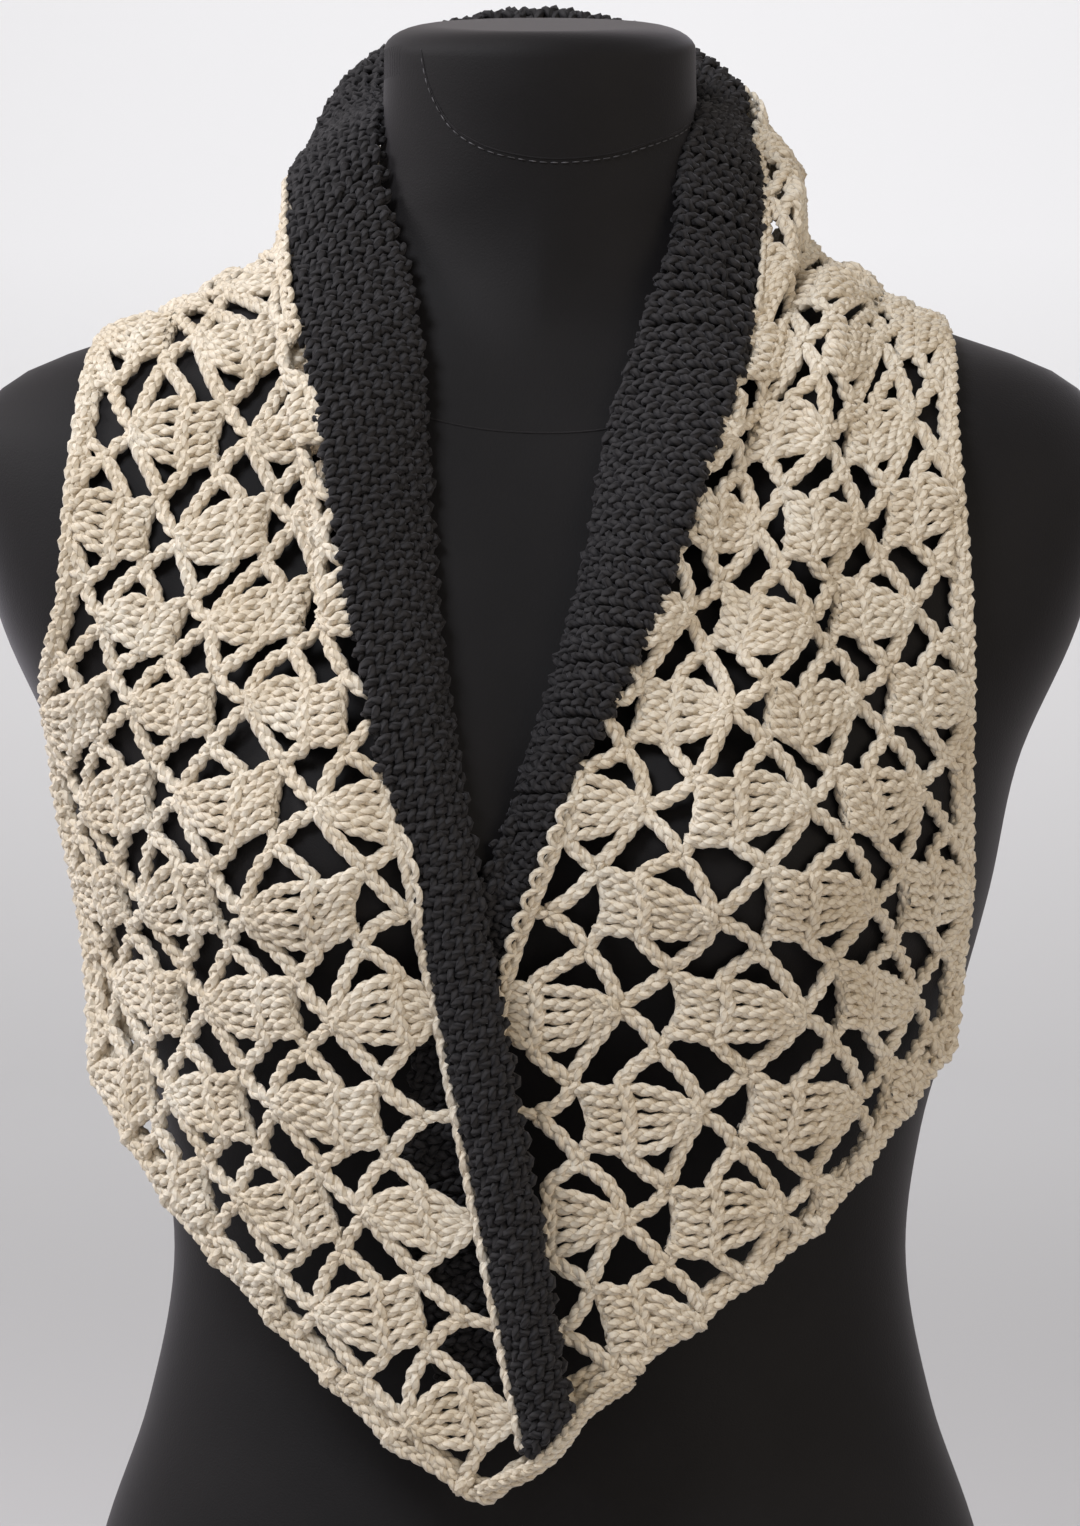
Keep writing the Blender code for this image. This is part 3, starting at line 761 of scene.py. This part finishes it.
def work_edging(cloth, inner, cream):
    """The outer chain and all cream yarn that isn't a tier's, as one piece."""
    yarn = Yarn()
    outer = np.linspace(-RIGHT_MITRE[-1][1], LEFT_MITRE[-1][1], BORDER_POINTS)
    bob = 0.8 * np.sin(outer * 2 * math.pi / 8.5) + 0.5 * np.sin(outer * 0.05)
    border = np.stack([LACE_WIDTH + 0.5 + bob, outer, np.full(BORDER_POINTS, 0.2)], 1)
    left = mitre_route(LEFT_MITRE, 1)
    right = mitre_route(RIGHT_MITRE, -1)[::-1]
    route = np.concatenate([right, border[1:-1], left])
    braid(yarn, cloth, route, width=3.0, depth=1.0, pitch=5.2, radius=1.45)
    behind = np.concatenate([right + (-2, 3.5, -2.4), border[1:-1] + (-3.6, 0, -1.6),
                             left + (-2, -3.5, -2.4)])
    braid(yarn, cloth, behind, width=2.4)
    for spot in np.arange(outer[0] + 3, outer[-1], EDGING_STEP):
        rope(yarn, cloth, [(LACE_WIDTH - 4.5, spot - 1, -1.4), (LACE_WIDTH - 1, spot, 0.8),
                           (LACE_WIDTH + 1.8, spot + 1, 0.2)], spread=0.8, radius=1.2)
    work_knots(yarn, cloth, left)
    work_knots(yarn, cloth, right[::-1])
    for first, last in SHOWN:
        work_foundation(yarn, inner, first, last)
    work_hem(yarn, cloth)
    work_point(yarn)
    return yarn.make("lace_edging", cream)


def work_foundation(yarn, cloth, first, last):
    """The chain that the lace is worked on, with the little loops that join it to the band."""
    places = np.linspace(first, last, int(last - first))
    dive = np.clip(1 - np.minimum(places - first, last - places) / DIP, 0, 1)
    if last == SHOWN[-1][1]:
        dive = np.clip(1 - (places - first) / DIP, 0, 1)
    out = 2.8 + table_at(SEAM_REACH, places)
    braid(yarn, cloth, np.stack([out - 7 * dive, places, 1.4 - 5 * dive], 1), width=2.3, radius=1.4)
    for spot in np.arange(first + DIP, last - 4, LOOP_STEP):
        way = 1 if spot > 0 else -1
        out = table_at(SEAM_REACH, spot)
        points, normals, _ = along_cloth(cloth, [
            (out + 3.0, spot - 4.6 * way, 1.6), (out + 1.4, spot - 2.8 * way, 3.6),
            (out - 0.3, spot - 0.6 * way, 4.6), (out - 0.2, spot + 1.6 * way, 4.4),
            (out + 1.6, spot + 3.0 * way, 3.4), (out + 3.2, spot + 4.0 * way, 1.4)], yarn.step)
        yarn.add(points, normals, 1.2 * DICE.uniform(0.92, 1.08))


def work_hem(yarn, cloth):
    """Where the outer edge hangs clear of the form, it is turned under."""
    for row in range(HEM_ROWS):
        out = LACE_WIDTH - 3 - 5 * row
        last = table_at(LEFT_MITRE, out) - 5
        places = np.linspace(TURNED_UNDER, last, 60)
        across = out + 1.2 * np.sin(places * 0.16 + row * 2.1)
        sunk = np.clip(np.minimum(places - TURNED_UNDER, last - places) / 18, 0, 1) ** 0.6
        height = -1.5 - (3 + 0.6 * row) * sunk + 0.6 * np.sin(places * 0.23 + row)
        braid(yarn, cloth, np.stack([across, places, height], 1))


def work_knots(yarn, cloth, route):
    """The knots where the lattice's arms meet the mitred edge."""
    run = distances(route[:, :2])
    for spot in np.arange(BUMP_STEP, run[-1] - 8, BUMP_STEP):
        across, along = (float(np.interp(spot, run, route[:, k])) for k in (0, 1))
        sign = 1 if along > 0 else -1
        for lean in (-1.7, 1.7):
            rope(yarn, cloth, [(across - 3 - lean, along - 4 * sign, 0.2),
                               (across + lean * 0.4, along, 1.5),
                               (across + 2, along + 2.2 * sign, -0.6)], spread=0.9)


def work_point(yarn):
    """The chain round the bottom of the bands, from one front to the other."""
    count = len(POINT_WRAP)
    points = smooth_curve(np.arange(count), POINT_WRAP, np.linspace(0, count - 1, 40))
    normals = np.tile((0.0, -1.0, 0.0), (len(points), 1))
    for drop, back in ((0, 0), (2.2, 3)):
        path = points + (0, back, -drop)
        braid_path(yarn, path, normals, distances(path), width=2.6, depth=0.8, pitch=4.2, radius=1.25)


# ---- the black band ----
def make_band(cloth, first, last, name, black):
    """The band's core: a thin closed strip under its stitches."""
    across = np.linspace(BAND_EDGE - BAND_WIDTH, -BAND_EDGE, 14)
    alongs = np.linspace(first, last, int((last - first) / 3))
    over = np.abs((across + BAND_WIDTH / 2) / (BAND_WIDTH / 2 - BAND_EDGE))
    half = BAND_HALF * (1.001 - over**6) ** 0.5
    grid_across, grid_along = np.meshgrid(across, alongs)
    grid_along = slanted(grid_across, grid_along)
    front = cloth.point(grid_across, grid_along, np.tile(half, (len(alongs), 1)))
    rear = cloth.point(grid_across, grid_along, np.tile(-half, (len(alongs), 1)))
    loop = np.concatenate([front, rear[:, ::-1]], 1)
    faces = tube_quads(*loop.shape[:2]).tolist() + end_caps(*loop.shape[:2])
    return make_piece(name, loop.reshape(-1, 3), faces, black)


def slanted(across, along):
    """The place along the strip of a point of the band's row: rows lie straighter at the fronts."""
    lean = BAND_LEAN * np.clip((LEAN_END - np.abs(along)) / LEAN_EASE, 0.4, 1)
    return along + lean * (across / BAND_WIDTH * 2 + 1)


def make_piece(name, points, faces, material):
    mesh = bpy.data.meshes.new(name)
    mesh.from_pydata(((points + PLACE) * MM).tolist(), [], faces)
    return finished(name, mesh, material)


def work_band(cloth, first, last, name, black):
    """The band's rows of knotted stitches, worked slantwise across it and rolled over its edges."""
    yarn = Yarn(step=1.6)
    share = np.linspace(0, 1, 60)
    for row, middle in enumerate(np.linspace(first + 2, last, int((last - first) / BAND_ROW))):
        middle = middle + DICE.uniform(-0.4, 0.4)
        free = -BAND_WIDTH - table_at(FREE_REACH, middle) - DICE.uniform(0, 1.2)
        across = free + (table_at(SEAM_REACH, middle) + DICE.uniform(-0.6, 0.8) - free) * share
        knots = np.abs(np.sin(math.pi * (across / KNOT + row * 0.37)))
        rolled = np.exp(-((across - across[0]) / 1.4) ** 2) + np.exp(-((across - across[-1]) / 1.4) ** 2)
        height = 0.7 + DICE.uniform(-0.3, 0.4) + 1.4 * knots - 2.2 * rolled
        sway = 0.5 * np.sin(across * 0.9 + row * 1.7)
        route = np.stack([across, slanted(across, middle) + sway, height], 1)
        braid(yarn, cloth, route, width=4.3, depth=1.5, pitch=KNOT, radius=BAND_YARN, phase=row * 0.31)
    return yarn.make(name, black)


# ---- the form ----
def make_seams(form, jersey, thread):
    """The form's sewn lines, each a ridge of cloth, the cap's stitches, and the gusset's ribs."""
    ridges = Yarn(step=1.2)
    stitches = Yarn()
    for line in (CAP_SEAM, NECK_SEAM):
        knots = np.linspace(0, 1, len(line))
        spots, ups = on_form(form, [(Vector((x, -OUTSIDE, z)), Vector((0, 1, 0)))
                                    for x, z in smooth_curve(knots, line, np.linspace(0, 1, 160))])
        ridges.add(spots - ups * 0.15, ups, 0.45)
        if line is CAP_SEAM:
            for start in range(2, 116, 3):
                stitch = slice(start, start + 3)
                stitches.add(spots[stitch] + ups[stitch] * 0.2 - (0, 0, 1.3), ups[stitch], 0.26)
    for degrees in np.arange(*RIB_TURNS):
        turn = math.radians(degrees)
        inward = Vector((-math.cos(turn), -math.sin(turn), 0))
        spots, ups = on_form(form, [(Vector((0, 0, z)) - inward * OUTSIDE, inward)
                                    for z in np.linspace(*RIB_HEIGHTS, 60)])
        ridges.add(spots - ups * 0.12, ups, 0.22)
    return ridges.make("form_seams", jersey), stitches.make("form_stitches", thread)


def on_form(form, rays):
    """Where rays meet the form, as 120 evenly spaced points with the directions out of it."""
    hits = [form.ray_cast(start, way)[:2] for start, way in rays]
    both = [(*spot, *normal) for spot, normal in hits if spot is not None]
    both = resample(np.array(both), 120)
    return both[:, :3], unit(both[:, 3:])


# ---- materials ----
class Shader:
    """A material's nodes, added and linked in short calls."""

    def __init__(self, name, colour, rough):
        self.material = bpy.data.materials.new(name)
        self.material.use_nodes = True
        self.tree = self.material.node_tree
        self.surface = self.tree.nodes["Principled BSDF"]
        self.surface.inputs["Base Color"].default_value = (*colour, 1)
        self.surface.inputs["Roughness"].default_value = rough

    def node(self, kind, **inputs):
        made = self.tree.nodes.new("ShaderNode" + kind)
        for name, value in inputs.items():
            self.feed(made.inputs[name.replace("_", " ")], value)
        return made

    def feed(self, socket, value):
        if isinstance(value, bpy.types.NodeSocket):
            self.tree.links.new(value, socket)
        else:
            socket.default_value = value

    def math(self, operation, *values):
        made = self.tree.nodes.new("ShaderNodeMath")
        made.operation = operation
        for socket, value in zip(made.inputs, values):
            self.feed(socket, value)
        return made.outputs[0]

    def ramp(self, factor, *stops):
        made = self.node("ValToRGB", Fac=factor)
        ramp = made.color_ramp
        while len(ramp.elements) < len(stops):
            ramp.elements.new(0.5)
        for element, (position, colour) in zip(ramp.elements, stops):
            element.position = position
            element.color = (*colour, 1)
        return made.outputs["Color"]

    def noise(self, scale, detail):
        """Noise that lies in the object's own place."""
        where = self.node("TexCoord").outputs["Object"]
        return self.node("TexNoise", Vector=where, Scale=scale, Detail=detail).outputs["Fac"]

    def cover(self, colour, height=None, strength=0.0, distance=0.0, **sockets):
        """The surface's colour and bump, and the values of its other sockets."""
        self.feed(self.surface.inputs["Base Color"], colour)
        if height is not None:
            self.feed(self.surface.inputs["Normal"], self.bump(height, strength, distance))
        for name, value in sockets.items():
            self.surface.inputs[name.replace("_", " ")].default_value = value
        return self.material

    def bump(self, height, strength, distance):
        made = self.node("Bump", Strength=strength, Distance=distance, Height=height)
        return made.outputs["Normal"]


def plied(shader):
    """The plies that wind round a strand, and the fibres that lie along them."""
    place = shader.node("SeparateXYZ", Vector=shader.node("UVMap").outputs["UV"])
    turn = shader.math("ADD", place.outputs["X"], shader.math("MULTIPLY", place.outputs["Y"], 1.1))
    plies = shader.math("ABSOLUTE", shader.math("SINE", shader.math("MULTIPLY", turn, 3 * math.pi)))
    fibre_place = shader.node("CombineXYZ", X=shader.math("MULTIPLY", turn, 14.0),
                              Y=shader.math("MULTIPLY", place.outputs["Y"], 3.0))
    fibres = shader.node("TexNoise", Vector=fibre_place.outputs[0], Scale=1.0, Detail=3.0)
    height = shader.math("ADD", shader.math("MULTIPLY", plies, 0.8),
                         shader.math("MULTIPLY", fibres.outputs["Fac"], 0.35))
    return plies, height


def yarn_material():
    """Plied worsted yarn: helical plies with fibres along them, painted shade darkening the grooves
    between the plies, and soft random changes of tone.
    """
    shader = Shader("yarn_cream", (0.62, 0.53, 0.39), 0.88)
    plies, height = plied(shader)
    tone = shader.math("ADD", shader.math("MULTIPLY", shader.noise(45.0, 3.0), 0.55),
                       shader.math("MULTIPLY", shader.noise(900.0, 2.0), 0.45))
    base = shader.ramp(tone, (0.34, (0.58, 0.485, 0.35)), (0.5, (0.69, 0.60, 0.47)),
                       (0.66, (0.77, 0.705, 0.59)))
    # painted shade: the grooves between the plies are darkened in the colour, multiplied over the base
    painted_groove_shade = shader.ramp(plies, (0.0, (0.46, 0.38, 0.28)), (0.45, (1.0, 1.0, 1.0)))
    mix = shader.node("Mix")
    mix.data_type = "RGBA"
    mix.blend_type = "MULTIPLY"
    shader.feed(mix.inputs["Factor"], 0.55)
    shader.feed(mix.inputs["A"], base)
    shader.feed(mix.inputs["B"], painted_groove_shade)
    colour = [s for s in mix.outputs if s.type == "RGBA"][0]
    return shader.cover(colour, height, 0.6, 0.0005, Sheen_Weight=0.25, Sheen_Roughness=0.5)


def band_material():
    """Soft black yarn: charcoal with random tone, painted highlight on the plies' crests and painted
    shade in their grooves.
    """
    shader = Shader("yarn_black", (0.012, 0.012, 0.013), 0.8)
    plies, height = plied(shader)
    # painted highlight and shade: the plies' crests lighter and their grooves darker make half of the
    # tone; the other half is random noise
    tone = shader.math("MULTIPLY", shader.math("ADD", shader.noise(260.0, 4.0), plies), 0.5)
    base = shader.ramp(tone, (0.2, (0.0035, 0.003, 0.0035)), (0.75, (0.020, 0.018, 0.019)))
    return shader.cover(base, height, 0.8, 0.0005, Specular_IOR_Level=0.35, Sheen_Weight=0.12,
                        Sheen_Roughness=0.4, Sheen_Tint=(0.5, 0.48, 0.52, 1))


def jersey_material():
    """Fine black knit stretched over the form."""
    shader = Shader("jersey_black", (0.012, 0.011, 0.012), 0.68)
    base = shader.ramp(shader.noise(30.0, 4.0), (0.3, (0.0026, 0.0019, 0.0021)),
                       (0.7, (0.0044, 0.0035, 0.0037)))
    return shader.cover(base, shader.noise(1400.0, 2.0), 0.3, 0.0003, Specular_IOR_Level=0.2,
                        Sheen_Weight=0.22, Sheen_Roughness=0.42, Sheen_Tint=(0.85, 0.8, 0.85, 1))


def thread_material():
    """The grey thread of the form's topstitching."""
    shader = Shader("sewing_thread", (0.06, 0.055, 0.06), 0.7)
    return shader.cover(shader.ramp(shader.noise(300.0, 2.0), (0.35, (0.02, 0.019, 0.02)),
                                    (0.65, (0.09, 0.085, 0.09))))


def studio_material():
    """A pale backdrop, with painted shade that makes it darker towards the floor."""
    shader = Shader("studio", (0.80, 0.80, 0.81), 0.9)
    place = shader.node("SeparateXYZ", Vector=shader.node("TexCoord").outputs["Object"])
    # painted shade: the colour darkens from the top of the backdrop down to the floor
    base = shader.ramp(place.outputs["Z"], (0.0, (0.54, 0.53, 0.535)),
                       (0.35, (0.68, 0.67, 0.675)), (0.9, (0.86, 0.855, 0.865)))
    return shader.cover(base)


# ---- stage ----
def make_stage():
    """A pale floor that curves up into a backdrop, far enough behind for views from all sides."""
    profile = [(-STAGE_HALF, 0.0), (STAGE_DEPTH - COVE, 0.0)]
    for k in range(1, 24):
        turn = k / 24 * math.pi / 2
        profile.append((STAGE_DEPTH - COVE + COVE * math.sin(turn), COVE - COVE * math.cos(turn)))
    profile.append((STAGE_DEPTH, STAGE_HALF))
    verts = [(x, y, z) for y, z in profile for x in (-STAGE_HALF, STAGE_HALF)]
    faces = [(2 * i, 2 * i + 1, 2 * i + 3, 2 * i + 2) for i in range(len(profile) - 1)]
    mesh = bpy.data.meshes.new("studio_floor")
    mesh.from_pydata(verts, [], faces)
    floor = finished("studio_floor", mesh, studio_material())


def add_light(name, spot, size, power, colour, aim=(0, 0, 0.4)):
    light = bpy.data.lights.new(name, "AREA")
    light.size = size
    light.energy = power
    light.color = colour
    lamp = put(name, light)
    lamp.location = spot
    lamp.rotation_euler = (Vector(aim) - Vector(spot)).to_track_quat("-Z", "Y").to_euler()


def make_lights_and_camera():
    add_light("key", (-0.95, -1.1, 1.85), 0.7, 28, (0.94, 0.97, 1.04), (0.1, 0.1, 0.8))
    add_light("fill", (1.9, -1.7, 0.9), 1.6, 17.5, (1.0, 0.88, 0.72))
    add_light("side", (-1.9, 0.1, 1.8), 0.9, 30, (1.0, 0.97, 1.0), (0, 0, 0.6))
    add_light("backdrop_light", (0.1, STAGE_DEPTH - 2.4, 3.5), 2.4, 77, (0.97, 0.98, 1.0),
              (0, STAGE_DEPTH, 0.9))
    world = bpy.data.worlds.new("studio")
    world.use_nodes = True
    air = world.node_tree.nodes["Background"].inputs
    air["Color"].default_value = (1.0, 0.98, 0.96, 1)
    air["Strength"].default_value = 0.35
    bpy.context.scene.world = world
    bpy.context.scene.view_settings.view_transform = "Standard"
    camera = bpy.data.cameras.new("camera")
    camera.sensor_fit = "VERTICAL"
    camera.sensor_height = SENSOR
    camera.lens = SENSOR * CAMERA_DISTANCE / FRAME_HEIGHT
    eye = put("camera", camera)
    aim = Vector(AIM) + Vector(PLACE) * MM
    eye.location = aim + CAMERA_DISTANCE * Vector((0, -math.cos(CAMERA_LIFT), math.sin(CAMERA_LIFT)))
    eye.rotation_euler = (aim - eye.location).to_track_quat("-Z", "Y").to_euler()
    bpy.context.scene.camera = eye


# ---- everything ----
def main():
    form, band, lace = build_surfaces()
    cream = yarn_material()
    black = band_material()
    jersey = jersey_material()
    tiers = work_lattice(lace, cream)
    inner = inner_cloth(band, lace)
    edging = work_edging(lace, inner, cream)
    stretches = (("left", BACK_GAP, LEFT_MITRE[0][1] - LEFT_STOP),
                 ("right", RIGHT_STOP - RIGHT_MITRE[0][1], -BACK_GAP))
    bands = [make_band(band, first, last, f"black_band_{side}", black)
             for side, first, last in stretches]
    stitches = [work_band(inner, first, last, f"black_stitches_{side}", black)
                for side, first, last in stretches]
    body = make_piece("form_jersey", *form_shape(), jersey)
    seams = make_seams(form, jersey, thread_material())
    for slot, pieces in (("yarn_cream", tiers + [edging]), ("yarn_black", bands + stitches),
                         ("jersey_black", [body, *seams])):
        for piece in pieces:
            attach(piece, "root")
    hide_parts("lace_left", "lace_right")
    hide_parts("edging_left", "edging_right")
    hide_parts("band_left")
    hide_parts("band_right")
    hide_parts("dress_form")
    make_stage()
    make_lights_and_camera()


main()
